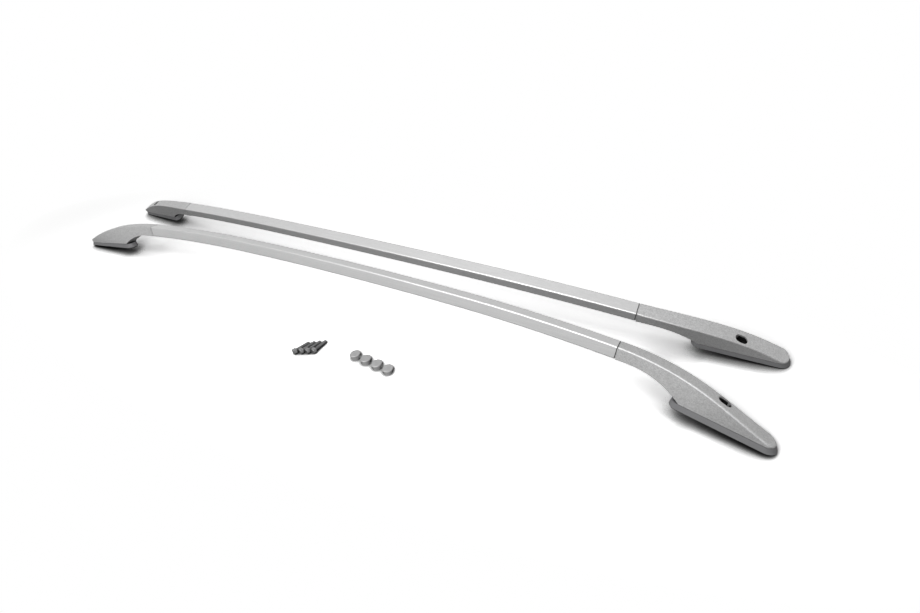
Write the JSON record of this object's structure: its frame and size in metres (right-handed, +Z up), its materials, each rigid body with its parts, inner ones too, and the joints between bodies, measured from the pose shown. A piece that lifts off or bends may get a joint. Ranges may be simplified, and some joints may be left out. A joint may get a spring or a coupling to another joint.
{
  "type": "roof side rail pair",
  "caption": "Left and right roof side rails: arched satin tubes on moulded screw-down feet, laid out with their mounting screws and oval hole caps taken off.",
  "frame": {"origin": "middle of the whole layout, on the floor under it", "axes": "+X along the rails towards the front of the car, +Y towards the car's left side, +Z up"},
  "size_m": [1.9192, 0.3786, 0.131],
  "materials": {
    "rail_tube": "satin silver anodised",
    "foot": "fine-grained silver paint",
    "base_skirt": "grained grey",
    "gasket": "matt black",
    "sleeve": "zinc plated",
    "hole_cap": "silver grey",
    "joint_screw": "zinc plated",
    "mounting_screw": "zinc plated"
  },
  "bodies": {
    "root": {"joint_screws": "joint_screw", "left_front_base_skirt": "base_skirt", "left_front_foot": "foot", "left_front_gasket": "gasket", "left_front_hole_cap": "hole_cap", "left_front_screw_sleeve": "sleeve", "left_rail_tube": "rail_tube", "left_rear_base_skirt": "base_skirt", "left_rear_foot": "foot", "left_rear_gasket": "gasket", "left_rear_hole_cap": "hole_cap", "left_rear_screw_sleeve": "sleeve", "mounting_screws": "mounting_screw", "right_front_base_skirt": "base_skirt", "right_front_foot": "foot", "right_front_gasket": "gasket", "right_front_hole_cap": "hole_cap", "right_front_screw_sleeve": "sleeve", "right_rail_tube": "rail_tube", "right_rear_base_skirt": "base_skirt", "right_rear_foot": "foot", "right_rear_gasket": "gasket", "right_rear_hole_cap": "hole_cap", "right_rear_screw_sleeve": "sleeve"}
  },
  "joints": []
}
